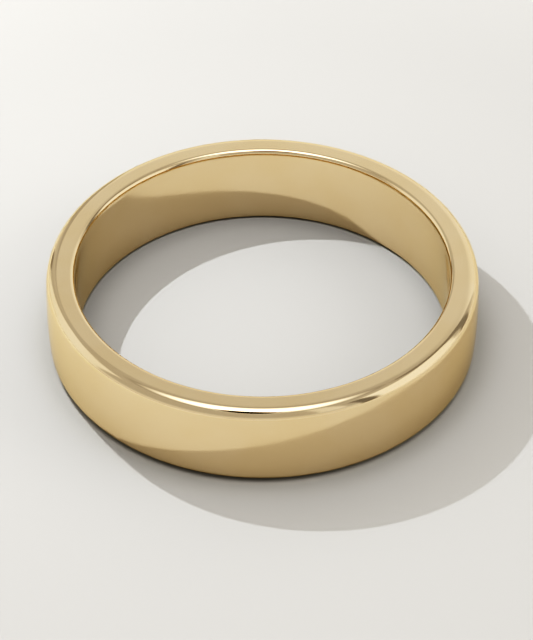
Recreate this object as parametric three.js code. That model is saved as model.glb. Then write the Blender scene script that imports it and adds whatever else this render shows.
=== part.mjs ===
// Plain wedding band: one closed ring of solid gold, polished all over.
// Units are millimetres. +Z runs along the finger hole, and the origin is the
// centre of the edge face that the ring rests on when it lies flat.

import * as THREE from 'three';

// ---- Driving dimensions ----------------------------------------------------

const BORE_DIAMETER = 16.6;  // the finger hole, ring size 52 (52 mm round), about US size 6
const BAND_WIDTH = 4.0;      // edge face to edge face, along the finger
const WALL = 1.34;           // bore to outside, at the middle of the width
const CROWN = 0.093;         // how far the outside falls away towards each edge face
const OUTER_ROUND = 0.51;    // radius of the two outer edges
const INNER_ROUND = 0.245;   // radius of the two edges of the finger hole

// ---- How finely the curves are cut -----------------------------------------

const SEGMENTS_AROUND = 96;
const OUTER_ROUND_STEPS = 6;
const INNER_ROUND_STEPS = 4;
const CROWN_STEPS = 4;

// ---- Worked out from the dimensions ----------------------------------------

const BORE_RADIUS = BORE_DIAMETER / 2;
const OUTER_RADIUS = BORE_RADIUS + WALL;
const HALF_WIDTH = BAND_WIDTH / 2;
const QUARTER_TURN = Math.PI / 2;
const HALF_TURN = Math.PI;

// The outside is a shallow circular arc, CROWN deep over half the width.
const CROWN_RADIUS = (HALF_WIDTH ** 2 + CROWN ** 2) / (2 * CROWN);
const CROWN_CENTRE = OUTER_RADIUS - CROWN_RADIUS;

// Each outer round touches the crown's arc from inside and the edge face from
// below, so it starts where the crown's arc has turned through ROUND_START.
const ROUND_REACH = CROWN_RADIUS - OUTER_ROUND;
const ROUND_START = Math.asin((HALF_WIDTH - OUTER_ROUND) / ROUND_REACH);
const ROUND_CENTRE = CROWN_CENTRE + ROUND_REACH * Math.cos(ROUND_START);

// ---- The cross-section -----------------------------------------------------

// Points on an arc about (centreR, centreZ), from one angle to another, both ends included.
function arc(centreR, centreZ, radius, from, to, steps) {
  const points = [];
  for (let i = 0; i <= steps; i++) {
    const angle = from + (to - from) * i / steps;
    const r = centreR + radius * Math.cos(angle);
    const z = centreZ + radius * Math.sin(angle);
    points.push(new THREE.Vector2(r, z));
  }
  return points;
}

// The outline of the ring's section, as radius and height, once round: up the
// outside, in over the upper edge face, down the bore, and out under the ring.
function sectionOutline() {
  const lowZ = OUTER_ROUND;
  const highZ = BAND_WIDTH - OUTER_ROUND;
  const boreRoundR = BORE_RADIUS + INNER_ROUND;
  const boreHighZ = BAND_WIDTH - INNER_ROUND;
  const boreLowZ = INNER_ROUND;
  const crown = arc(CROWN_CENTRE, HALF_WIDTH, CROWN_RADIUS, -ROUND_START, ROUND_START, CROWN_STEPS);
  const outline = [
    ...arc(ROUND_CENTRE, lowZ, OUTER_ROUND, -QUARTER_TURN, -ROUND_START, OUTER_ROUND_STEPS),
    ...crown.slice(1, -1),
    ...arc(ROUND_CENTRE, highZ, OUTER_ROUND, ROUND_START, QUARTER_TURN, OUTER_ROUND_STEPS),
    ...arc(boreRoundR, boreHighZ, INNER_ROUND, QUARTER_TURN, HALF_TURN, INNER_ROUND_STEPS),
    ...arc(boreRoundR, boreLowZ, INNER_ROUND, HALF_TURN, HALF_TURN + QUARTER_TURN, INNER_ROUND_STEPS),
  ];
  outline.push(outline[0].clone());
  return outline;
}

// ---- Material and mesh -----------------------------------------------------

const yellowGold = new THREE.MeshStandardMaterial({
  name: 'polished yellow gold',
  color: 0xd9bd84,
  roughness: 0.12,
  metalness: 1.0,
});

// LatheGeometry turns the outline about Y, so the ring is then laid onto +Z.
function makeBand() {
  const geometry = new THREE.LatheGeometry(sectionOutline(), SEGMENTS_AROUND);
  geometry.rotateX(QUARTER_TURN);
  const band = new THREE.Mesh(geometry, yellowGold);
  band.name = 'band';
  return band;
}

const weddingBand = new THREE.Group();
weddingBand.add(makeBand());

export default weddingBand;
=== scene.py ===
"""A plain polished gold wedding band, lying on a pale floor in a small photographic studio.

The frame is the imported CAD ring: metres, +Z up, origin at the centre of the edge face the ring rests on.
The studio is laid out in ring radii, so it follows the ring if the ring's size changes.
"""

import math

import bmesh
import bpy
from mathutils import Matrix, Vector


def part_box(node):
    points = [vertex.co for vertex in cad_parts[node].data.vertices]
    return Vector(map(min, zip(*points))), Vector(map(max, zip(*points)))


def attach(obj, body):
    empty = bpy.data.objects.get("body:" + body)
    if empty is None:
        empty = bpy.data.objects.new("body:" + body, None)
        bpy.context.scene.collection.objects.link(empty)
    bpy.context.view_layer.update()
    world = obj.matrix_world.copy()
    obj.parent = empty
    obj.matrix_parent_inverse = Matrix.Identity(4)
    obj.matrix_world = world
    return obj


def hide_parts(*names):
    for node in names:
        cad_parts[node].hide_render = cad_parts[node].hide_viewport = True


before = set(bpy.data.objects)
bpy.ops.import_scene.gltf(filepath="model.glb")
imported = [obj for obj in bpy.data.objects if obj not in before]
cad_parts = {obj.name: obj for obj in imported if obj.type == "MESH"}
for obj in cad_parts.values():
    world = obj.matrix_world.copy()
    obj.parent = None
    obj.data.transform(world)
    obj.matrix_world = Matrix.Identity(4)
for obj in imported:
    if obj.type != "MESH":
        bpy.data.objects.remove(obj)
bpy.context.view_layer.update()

MM = 0.001

# ---- The ring's section: the CAD's sizes ---------------------------------------

ring_low, ring_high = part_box("band")
OUTER_RADIUS = ring_high.x
WIDTH = ring_high.z
WALL = 1.34 * MM
CROWN = 0.093 * MM
OUTER_ROUND = 0.51 * MM
INNER_ROUND = 0.245 * MM
BORE_RADIUS = OUTER_RADIUS - WALL

# The last part of each inner round opens into a gentler curve, which the CAD's plain round leaves out.
EASE_ROUND = 0.60 * MM
EASE_ANGLE = math.radians(21)

SEGMENTS_AROUND = 512
OUTER_ROUND_STEPS = 28
INNER_ROUND_STEPS = 18
EASE_STEPS = 9
CROWN_STEPS = 28
BORE_STEPS = 10
FACE_STEPS = 3

# ---- Small helpers -----------------------------------------------------------


def around(radius, angle):
    """A point on the floor, radius from the ring's axis."""
    return Vector((radius * math.cos(angle), radius * math.sin(angle), 0.0))


def new_object(name, data):
    thing = bpy.data.objects.new(name, data)
    bpy.context.scene.collection.objects.link(thing)
    return thing


def aim(thing, target):
    """Turns a camera or a light so that it points at target, with its top upwards."""
    direction = Vector(target) - thing.location
    thing.rotation_mode = "QUATERNION"
    thing.rotation_quaternion = direction.to_track_quat("-Z", "Y")


# ---- The camera ----------------------------------------------------------------

CAMERA_ELEVATION = math.radians(41.51)
CAMERA_DISTANCE = 13.22 * OUTER_RADIUS
CAMERA_AIM = Vector((0.019, 0.102, 0.0)) * OUTER_RADIUS
CAMERA_LENS = 158.5
CAMERA_SENSOR = 36.0
CAMERA_REACH = 200 * OUTER_RADIUS


def make_camera():
    data = bpy.data.cameras.new("camera")
    data.sensor_width = CAMERA_SENSOR
    data.lens = CAMERA_LENS
    data.dof.use_dof = False
    data.clip_start = OUTER_RADIUS
    data.clip_end = CAMERA_REACH
    camera = new_object("camera", data)
    back = -math.cos(CAMERA_ELEVATION)
    up = math.sin(CAMERA_ELEVATION)
    camera.location = Vector((0.0, back, up)) * CAMERA_DISTANCE
    aim(camera, CAMERA_AIM)
    bpy.context.scene.camera = camera


# ---- The ring's mesh -------------------------------------------------------------


def arc(centre_r, centre_z, radius, start, end, steps):
    """Section points (r, z, normal r, normal z) along an arc, with the normals away from its centre."""
    points = []
    for i in range(steps + 1):
        angle = start + (end - start) * i / steps
        nr = math.cos(angle)
        nz = math.sin(angle)
        points.append((centre_r + radius * nr, centre_z + radius * nz, nr, nz))
    return points


def straight(r0, z0, r1, z1, normal_r, normal_z, steps):
    """Section points strictly between two ends of a straight stretch."""
    points = []
    for i in range(1, steps):
        t = i / steps
        points.append((r0 + (r1 - r0) * t, z0 + (z1 - z0) * t, normal_r, normal_z))
    return points


def eased_round(top_z, flip):
    """The round between the face at top_z and the bore; near the bore it opens into a gentler curve.

    flip is 1 for the upper edge and -1 for the lower one. The points go from the face to the bore.
    """
    tight = (INNER_ROUND - EASE_ROUND * (1 - math.cos(EASE_ANGLE))) / math.cos(EASE_ANGLE)
    tight_r = BORE_RADIUS + INNER_ROUND
    gentle_r = BORE_RADIUS + EASE_ROUND
    tight_z = -tight
    gentle_z = tight_z + (tight - EASE_ROUND) * math.sin(EASE_ANGLE)
    turn = math.pi - EASE_ANGLE
    points = arc(tight_r, tight_z, tight, math.pi / 2, turn, INNER_ROUND_STEPS)
    points += arc(gentle_r, gentle_z, EASE_ROUND, turn, math.pi, EASE_STEPS)[1:]
    return [(r, top_z + flip * z, nr, flip * nz) for r, z, nr, nz in points]


def ring_section():
    """The closed outline of the ring's section with its normals: up the outside, in, down the bore, out."""
    quarter = math.pi / 2
    half_width = WIDTH / 2
    crown_radius = (half_width ** 2 + CROWN ** 2) / (2 * CROWN)
    crown_centre = OUTER_RADIUS - crown_radius
    reach = crown_radius - OUTER_ROUND
    start = math.asin((half_width - OUTER_ROUND) / reach)
    round_r = crown_centre + reach * math.cos(start)
    bore_round_r = BORE_RADIUS + INNER_ROUND
    top_round_z = WIDTH - OUTER_ROUND
    outline = []
    outline += arc(round_r, OUTER_ROUND, OUTER_ROUND, -quarter, -start, OUTER_ROUND_STEPS)
    outline += arc(crown_centre, half_width, crown_radius, -start, start, CROWN_STEPS)[1:-1]
    outline += arc(round_r, top_round_z, OUTER_ROUND, start, quarter, OUTER_ROUND_STEPS)
    outline += straight(round_r, WIDTH, bore_round_r, WIDTH, 0, 1, FACE_STEPS)
    upper = eased_round(WIDTH, 1)
    lower = eased_round(0, -1)[::-1]
    outline += upper
    outline += straight(BORE_RADIUS, upper[-1][1], BORE_RADIUS, lower[0][1], -1, 0, BORE_STEPS)
    outline += lower
    outline += straight(bore_round_r, 0, round_r, 0, 0, -1, FACE_STEPS)
    return outline


def make_ring():
    section = ring_section()
    mesh_maker = bmesh.new()
    loops = []
    normals = []
    for k in range(SEGMENTS_AROUND):
        angle = 2 * math.pi * k / SEGMENTS_AROUND
        c = math.cos(angle)
        s = math.sin(angle)
        loops.append([mesh_maker.verts.new((r * c, r * s, z)) for r, z, _, _ in section])
        normals += [(nr * c, nr * s, nz) for _, _, nr, nz in section]
    for k in range(SEGMENTS_AROUND):
        here = loops[k]
        there = loops[(k + 1) % SEGMENTS_AROUND]
        for i in range(len(section)):
            j = (i + 1) % len(section)
            mesh_maker.faces.new((here[i], there[i], there[j], here[j]))
    mesh = bpy.data.meshes.new("gold_band")
    mesh_maker.to_mesh(mesh)
    mesh_maker.free()
    mesh.shade_smooth()
    mesh.normals_split_custom_set_from_vertices(normals)
    return new_object("gold_band", mesh)


# ---- Polished gold ------------------------------------------------------------------

GOLD = (0.912, 0.765, 0.545)
GOLD_AT_EDGES = (1.0, 0.94, 0.80)

# In its duller patches the gold keeps this share of its colour.
DULL_SHARE = (0.985, 0.975, 0.95)

ROUGHNESS = 0.10
PATCH_ROUGHNESS = 0.015
LINE_ROUGHNESS = 0.02
WORN_ROUGHNESS = 0.02

# The scales are in noise cells to a metre.
NOISE_DETAIL = 3.0
PATCH_SCALE = 0.35 / MM
LINE_SCALE_ACROSS = 16.0 / MM
LINE_SCALE_ALONG = 0.12 / MM
LINE_STRENGTH = 0.035
LINE_DEPTH = 0.02 * MM

# The stretch of a noise's values over which each effect grows from its least to its most.
TINT_RANGE = (0.35, 0.65)
PATCH_RANGE = (0.3, 0.7)
LINE_RANGE = (0.4, 0.7)
WEAR_RANGE = (0.45, 0.7)

# How far in from an edge face the wear begins, and how far in it is full.
WEAR_BEGINS = 1.6 * OUTER_ROUND
WEAR_FULL = 0.2 * OUTER_ROUND


class Nodes:
    """A short way to add nodes to a material or a world."""

    def __init__(self, tree):
        self.tree = tree

    def add(self, kind, **settings):
        node = self.tree.nodes.new(kind)
        for name, value in settings.items():
            setattr(node, name, value)
        return node

    def link(self, source, target):
        if isinstance(source, (int, float)):
            target.default_value = source
        else:
            self.tree.links.new(source, target)

    def math(self, operation, a, b=0.0):
        node = self.add("ShaderNodeMath", operation=operation)
        self.link(a, node.inputs[0])
        self.link(b, node.inputs[1])
        return node.outputs[0]

    def mix(self, factor, a, b):
        """The colour a where factor is 0 and the colour b where it is 1."""
        node = self.add("ShaderNodeMix", data_type="RGBA")
        self.link(factor, node.inputs["Factor"])
        for colour, socket in ((a, node.inputs["A"]), (b, node.inputs["B"])):
            if isinstance(colour, tuple):
                socket.default_value = (*colour, 1.0)
            else:
                self.link(colour, socket)
        return node.outputs["Result"]

    def ramp(self, value, low, high, to_low, to_high):
        """value from low..high made into to_low..to_high, smoothly and clamped."""
        node = self.add("ShaderNodeMapRange", interpolation_type="SMOOTHSTEP")
        self.link(value, node.inputs["Value"])
        node.inputs["From Min"].default_value = low
        node.inputs["From Max"].default_value = high
        node.inputs["To Min"].default_value = to_low
        node.inputs["To Max"].default_value = to_high
        return node.outputs["Result"]

    def noise(self, vector, scale):
        node = self.add("ShaderNodeTexNoise")
        node.inputs["Scale"].default_value = scale
        node.inputs["Detail"].default_value = NOISE_DETAIL
        self.link(vector, node.inputs["Vector"])
        return node.outputs["Fac"]


def gold_material():
    material = bpy.data.materials.new("polished_yellow_gold")
    material.use_nodes = True
    nodes = Nodes(material.node_tree)
    shader = material.node_tree.nodes["Principled BSDF"]
    shader.inputs["Metallic"].default_value = 1.0
    shader.inputs["Specular Tint"].default_value = (*GOLD_AT_EDGES, 1.0)

    place = nodes.add("ShaderNodeTexCoord").outputs["Object"]
    split = nodes.add("ShaderNodeSeparateXYZ")
    nodes.link(place, split.inputs[0])
    x, y, z = split.outputs
    squares = nodes.math("ADD", nodes.math("MULTIPLY", x, x), nodes.math("MULTIPLY", y, y))
    radius = nodes.math("SQRT", squares)

    # Polishing lines run round the ring: the pattern changes slowly round it, and quickly across.
    across = nodes.math("MULTIPLY", nodes.math("SUBTRACT", z, radius), LINE_SCALE_ACROSS)
    lines_at = nodes.add("ShaderNodeCombineXYZ")
    nodes.link(nodes.math("MULTIPLY", x, LINE_SCALE_ALONG), lines_at.inputs[0])
    nodes.link(nodes.math("MULTIPLY", y, LINE_SCALE_ALONG), lines_at.inputs[1])
    nodes.link(across, lines_at.inputs[2])
    lines = nodes.noise(lines_at.outputs[0], 1.0)

    # Softer patches where the polish is a touch duller.
    patches = nodes.noise(place, PATCH_SCALE)

    # The rounded edges meet things first, so they carry a little more wear.
    from_middle = nodes.math("ABSOLUTE", nodes.math("SUBTRACT", z, WIDTH / 2))
    edge = nodes.ramp(from_middle, WIDTH / 2 - WEAR_BEGINS, WIDTH / 2 - WEAR_FULL, 0.0, 1.0)
    worn = nodes.math("MULTIPLY", edge, nodes.ramp(patches, *WEAR_RANGE, 0.0, 1.0))

    dull_gold = tuple(gold * share for gold, share in zip(GOLD, DULL_SHARE))
    tint = nodes.mix(nodes.ramp(patches, *TINT_RANGE, 0.0, 1.0), GOLD, dull_gold)
    nodes.link(tint, shader.inputs["Base Color"])

    rough = nodes.ramp(patches, *PATCH_RANGE, ROUGHNESS - PATCH_ROUGHNESS, ROUGHNESS + PATCH_ROUGHNESS)
    rough = nodes.math("ADD", rough, nodes.ramp(lines, *LINE_RANGE, 0.0, LINE_ROUGHNESS))
    rough = nodes.math("ADD", rough, nodes.math("MULTIPLY", worn, WORN_ROUGHNESS))
    nodes.link(rough, shader.inputs["Roughness"])

    bump = nodes.add("ShaderNodeBump")
    bump.inputs["Strength"].default_value = LINE_STRENGTH
    bump.inputs["Distance"].default_value = LINE_DEPTH
    nodes.link(lines, bump.inputs["Height"])
    nodes.link(bump.outputs["Normal"], shader.inputs["Normal"])
    return material


# ---- The studio: floor, surroundings and lights ------------------------------------------

WHITE = (1.0, 1.0, 1.0)
RING_PLACE = (0.0, 0.0, 0.0)

CARD_DISTANCE = 30 * OUTER_RADIUS
DISC_CORNERS = 48

FLOOR_RADIUS = 90 * OUTER_RADIUS
FLOOR_CORNERS = 128
FLOOR_ROUGHNESS = 0.9
FLOOR_COLOUR = (0.60, 0.580, 0.540)
# Painted light: the floor's colour is lighter far from the ring.
FLOOR_PAINTED_FAR_LIGHT_COLOUR = (0.72, 0.698, 0.650)
# Painted light: lighter and warmer just outside the ring's foot, for light the gold throws.
FLOOR_PAINTED_FOOT_LIGHT_COLOUR = (0.62, 0.595, 0.545)
THROWN_COLOUR = (1.0, 0.88, 0.70)
THROWN_LIGHT = 0.055
THROWN_AT_BORE = 0.7
THROWN_IN_BORE = 0.2
HORIZON_LIGHT = 0.36

# The distances from the ring's axis over which, or at which, the floor's painted light and glow change.
PAINTED_FAR_LIGHT_RANGE = (2.2 * OUTER_RADIUS, 4.5 * OUTER_RADIUS)
PAINTED_FOOT_LIGHT_RANGE = (0.995 * OUTER_RADIUS, 1.14 * OUTER_RADIUS)
PAINTED_FOOT_LIGHT_BEGINS = 0.93 * OUTER_RADIUS
AT_BORE_RANGE = (BORE_RADIUS - 0.012 * OUTER_RADIUS, BORE_RADIUS)
IN_BORE_RANGE = (0.55 * OUTER_RADIUS, BORE_RADIUS)
OUTSIDE_RANGE = (0.99 * OUTER_RADIUS, 1.025 * OUTER_RADIUS)
HORIZON_RANGE = (18 * OUTER_RADIUS, 70 * OUTER_RADIUS)

# How bright the surroundings are at the horizon and above it, from this sine of elevation up.
SURROUND_AT_HORIZON = 0.80
SURROUND_ABOVE = 0.56
SURROUND_ABOVE_FROM = 0.4

# The lamps' powers are in watts.
KEY_PLACE = Vector((-3.345, 3.0, 5.467)) * OUTER_RADIUS
KEY_AIM = Vector((5.8, -6.1, 0.0)) * OUTER_RADIUS
KEY_RADIUS = 0.06 * OUTER_RADIUS
KEY_POWER = 0.0238
KEY_COLOUR = (1.0, 1.055, 1.13)
SIDE_FILL_PLACE = Vector((25.0, -4.0, 15.0)) * OUTER_RADIUS
SIDE_FILL_RADIUS = 8 * OUTER_RADIUS
SIDE_FILL_POWER = 0.07
TOP_FILL_PLACE = Vector((-0.3, -2.2, 27.0)) * OUTER_RADIUS
TOP_FILL_RADIUS = 11 * OUTER_RADIUS
TOP_FILL_POWER = 0.163
TOP_FILL_COLOUR = (1.0, 0.995, 1.03)


def glow_material(name, brightness, far_brightness, fade_from, fade_to, fade_along="height"):
    """Plain light whose brightness changes with the height, or with the distance from the middle."""
    material = bpy.data.materials.new(name)
    material.use_nodes = True
    material.node_tree.nodes.clear()
    nodes = Nodes(material.node_tree)
    glow = nodes.add("ShaderNodeEmission")
    place = nodes.add("ShaderNodeTexCoord").outputs["Object"]
    if fade_along == "height":
        measure = nodes.add("ShaderNodeSeparateXYZ")
        along = measure.outputs["Z"]
    else:
        measure = nodes.add("ShaderNodeVectorMath", operation="LENGTH")
        along = measure.outputs["Value"]
    nodes.link(place, measure.inputs[0])
    strength = nodes.ramp(along, fade_from, fade_to, brightness, far_brightness)
    nodes.link(strength, glow.inputs["Strength"])
    out = nodes.add("ShaderNodeOutputMaterial")
    nodes.link(glow.outputs[0], out.inputs["Surface"])
    return material


def make_card(name, corners, material):
    """A flat card that the gold mirrors and the camera doesn't see."""
    mesh = bpy.data.meshes.new(name)
    mesh.from_pydata(corners, [], [tuple(range(len(corners)))])
    mesh.materials.append(material)
    card = new_object(name, mesh)
    card.visible_camera = False
    return card


def standing_card(name, azimuth, corners, brightness, nearness=1.0, top_brightness=None, fade=(0.0, 1.0)):
    """A card standing across one direction; over the fade it changes to top_brightness, if that is given.

    The corners (sideways, up) and the fade's two heights are tangents from the ring.
    """
    ahead = around(1.0, math.radians(azimuth))
    sideways = around(1.0, math.radians(azimuth + 90))
    distance = CARD_DISTANCE * nearness
    points = [(ahead + sideways * u + Vector((0, 0, v))) * distance for u, v in corners]
    if top_brightness is None:
        top_brightness = brightness
    fade_from, fade_to = (height * distance for height in fade)
    make_card(name, points, glow_material(name, brightness, top_brightness, fade_from, fade_to))


def upright(left, right, low, high):
    """The corners of an upright rectangle for a standing card."""
    return [(left, low), (right, low), (right, high), (left, high)]


def overhead_disc(name, x, y, radius, core, brightness, rim_brightness, nearness=1.0):
    """A level disc over the ring whose brightness changes softly between its core and its rim.

    x, y, the radius and the core's radius are tangents from straight up.
    """
    height = CARD_DISTANCE * nearness
    turns = [2 * math.pi * k / DISC_CORNERS for k in range(DISC_CORNERS)]
    points = [around(radius * height, t) for t in turns]
    material = glow_material(name, brightness, rim_brightness, core * height, radius * height, "from middle")
    disc = make_card(name, points, material)
    disc.location = Vector((x, y, 1.0)) * height


def make_cards():
    # A round softbox overhead. The disc under it is dark in its middle and leaves a gap in its reflection.
    overhead_disc("top_softbox", x=-0.05, y=-0.09, radius=0.58, core=0.10, brightness=2.6,
                  rim_brightness=0.42)
    overhead_disc("top_gap", x=-0.09, y=-0.51, radius=0.25, core=0.11, brightness=0.02,
                  rim_brightness=0.9, nearness=0.95)

    # The broad pale panels on the left, on the right and behind.
    flared = [(-0.44, 0.0), (0.46, 0.0), (0.46, 0.3), (0.75, 1.19), (-0.44, 1.19)]
    standing_card("left_softbox", 160, upright(-0.49, 0.49, 0.0, 1.08), 0.89)
    standing_card("right_softbox", 350, flared, 0.98)
    standing_card("back_wall", 71, upright(-0.62, 0.62, 0.0, 1.3), 0.875,
                  top_brightness=0.63, fade=(0.45, 1.2))

    # Narrow darker strips between and beside the panels. The right one bends, and is widest near its top.
    bent = [(-0.14, 0.0), (0.02, 0.0), (0.14, 0.5), (0.27, 0.9), (0.22, 1.4),
            (0.10, 1.8), (-0.12, 1.75), (-0.20, 1.3), (-0.03, 0.9), (-0.04, 0.45)]
    tapered = [(-0.05, 0.03), (0.06, 0.03), (0.05, 0.30), (-0.05, 0.30)]
    leaning = [(-0.10, 0.3), (0.08, 0.3), (0.04, 0.95), (-0.18, 0.95)]
    standing_card("right_flag", 25, bent, 0.34, nearness=0.9)
    standing_card("front_flag", 320, upright(-0.07, 0.075, 0.03, 0.95), 0.30, nearness=0.9)
    standing_card("front_strip", 303, upright(-0.12, 0.12, 0.3, 1.6), 0.80, nearness=0.9)
    standing_card("left_flag", 128, tapered, 0.36, nearness=0.9)
    standing_card("left_haze", 120, leaning, 0.60, nearness=0.92)
    standing_card("back_flag", 110, upright(-0.10, 0.10, 0.03, 0.75), 0.52, nearness=0.92)


def floor_material():
    """A pale floor with painted light: its colour and its faint glow change with the distance from the ring's
    axis.
    """
    material = bpy.data.materials.new("pale_floor")
    material.use_nodes = True
    nodes = Nodes(material.node_tree)
    shader = material.node_tree.nodes["Principled BSDF"]
    shader.inputs["Roughness"].default_value = FLOOR_ROUGHNESS
    shader.inputs["Specular IOR Level"].default_value = 0.0
    place = nodes.add("ShaderNodeTexCoord").outputs["Object"]
    length = nodes.add("ShaderNodeVectorMath", operation="LENGTH")
    nodes.link(place, length.inputs[0])
    radius = length.outputs["Value"]

    # Painted light: the floor is painted lighter far from the ring, so it is a little darker round the ring,
    # and painted lighter and warmer just outside the gold, for the light the gold throws.
    far_painted_light = nodes.ramp(radius, *PAINTED_FAR_LIGHT_RANGE, 0.0, 1.0)
    colour = nodes.mix(far_painted_light, FLOOR_COLOUR, FLOOR_PAINTED_FAR_LIGHT_COLOUR)
    painted_foot_light = nodes.ramp(radius, *PAINTED_FOOT_LIGHT_RANGE, 1.0, 0.0)
    outside = nodes.math("GREATER_THAN", radius, PAINTED_FOOT_LIGHT_BEGINS)
    colour = nodes.mix(nodes.math("MULTIPLY", painted_foot_light, outside), colour, FLOOR_PAINTED_FOOT_LIGHT_COLOUR)
    nodes.link(colour, shader.inputs["Base Color"])

    # Polished gold throws a little light down beside its foot. The scene has the renderer leave such
    # reflected light out, so it is added here.
    at_bore = nodes.ramp(radius, *AT_BORE_RANGE, 0.0, THROWN_AT_BORE)
    at_outside = nodes.ramp(radius, *OUTSIDE_RANGE, 1.0, 0.0)
    in_bore = nodes.ramp(radius, *IN_BORE_RANGE, 0.0, THROWN_IN_BORE)
    thrown = nodes.math("MAXIMUM", at_bore, in_bore)
    thrown = nodes.math("MULTIPLY", nodes.math("MULTIPLY", thrown, at_outside), THROWN_LIGHT)

    # Far away the floor has a painted glow, so it brightens into the backdrop and there is no dark band at
    # the horizon. The glow is warm beside the ring and white far away.
    horizon = nodes.ramp(radius, *HORIZON_RANGE, 0.0, HORIZON_LIGHT)
    nodes.link(nodes.mix(far_painted_light, THROWN_COLOUR, WHITE), shader.inputs["Emission Color"])
    nodes.link(nodes.math("ADD", thrown, horizon), shader.inputs["Emission Strength"])
    return material


def make_floor():
    mesh_maker = bmesh.new()
    bmesh.ops.create_circle(mesh_maker, cap_ends=True, segments=FLOOR_CORNERS, radius=FLOOR_RADIUS)
    mesh = bpy.data.meshes.new("floor")
    mesh_maker.to_mesh(mesh)
    mesh_maker.free()
    mesh.materials.append(floor_material())
    floor = new_object("floor", mesh)


def make_world():
    """Light from all round, brighter at the horizon than above it."""
    world = bpy.data.worlds.new("studio")
    bpy.context.scene.world = world
    world.use_nodes = True
    nodes = Nodes(world.node_tree)
    background = world.node_tree.nodes["Background"]
    direction = nodes.add("ShaderNodeTexCoord").outputs["Generated"]
    split = nodes.add("ShaderNodeSeparateXYZ")
    nodes.link(direction, split.inputs[0])
    brightness = nodes.ramp(split.outputs["Z"], 0.0, SURROUND_ABOVE_FROM, SURROUND_AT_HORIZON, SURROUND_ABOVE)
    nodes.link(brightness, background.inputs["Strength"])
    background.inputs["Color"].default_value = (*WHITE, 1.0)


def disc_light(name, place, target, radius, power, colour=WHITE):
    """A round lamp that lights the floor and that the gold doesn't mirror."""
    data = bpy.data.lights.new(name, "AREA")
    data.shape = "DISK"
    data.size = 2 * radius
    data.energy = power
    data.color = colour
    lamp = new_object(name, data)
    lamp.location = place
    aim(lamp, target)
    lamp.visible_camera = False
    lamp.visible_glossy = False


def make_lights():
    disc_light("key", KEY_PLACE, KEY_AIM, KEY_RADIUS, KEY_POWER, KEY_COLOUR)
    disc_light("side_fill", SIDE_FILL_PLACE, RING_PLACE, SIDE_FILL_RADIUS, SIDE_FILL_POWER)
    disc_light("top_fill", TOP_FILL_PLACE, RING_PLACE, TOP_FILL_RADIUS, TOP_FILL_POWER, TOP_FILL_COLOUR)


# ---- How the scene's light becomes the picture -----------------------------------------------

# The photograph's contrast: below CONTRAST_REACH the tones are pulled down, the darkest ones by most.
CONTRAST_REACH = 0.75
CONTRAST_DEPTH = 1.12
CONTRAST_STEPS = 10


def contrast(light):
    """The brightness in the picture for an amount of light in the scene."""
    below = max(0.0, 1 - light / CONTRAST_REACH)
    return light * max(0.0, 1 - CONTRAST_DEPTH * below ** 2)


def set_picture():
    """Turns off the patterns of light that the gold would throw, and sets the photograph's contrast."""
    scene = bpy.context.scene
    scene.cycles.caustics_reflective = False
    view = scene.view_settings
    view.view_transform = "Standard"
    view.use_curve_mapping = True
    mapping = view.curve_mapping
    mapping.extend = "EXTRAPOLATED"
    whole_picture = mapping.curves[3]
    for step in range(1, CONTRAST_STEPS):
        light = step / CONTRAST_STEPS
        whole_picture.points.new(light, contrast(light))
    mapping.update()


# ---- Put it together -------------------------------------------------------------------------

set_picture()
make_camera()
make_world()
make_floor()
make_cards()
make_lights()

ring = make_ring()
ring.data.materials.append(gold_material())
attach(ring, "root")
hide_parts("band")
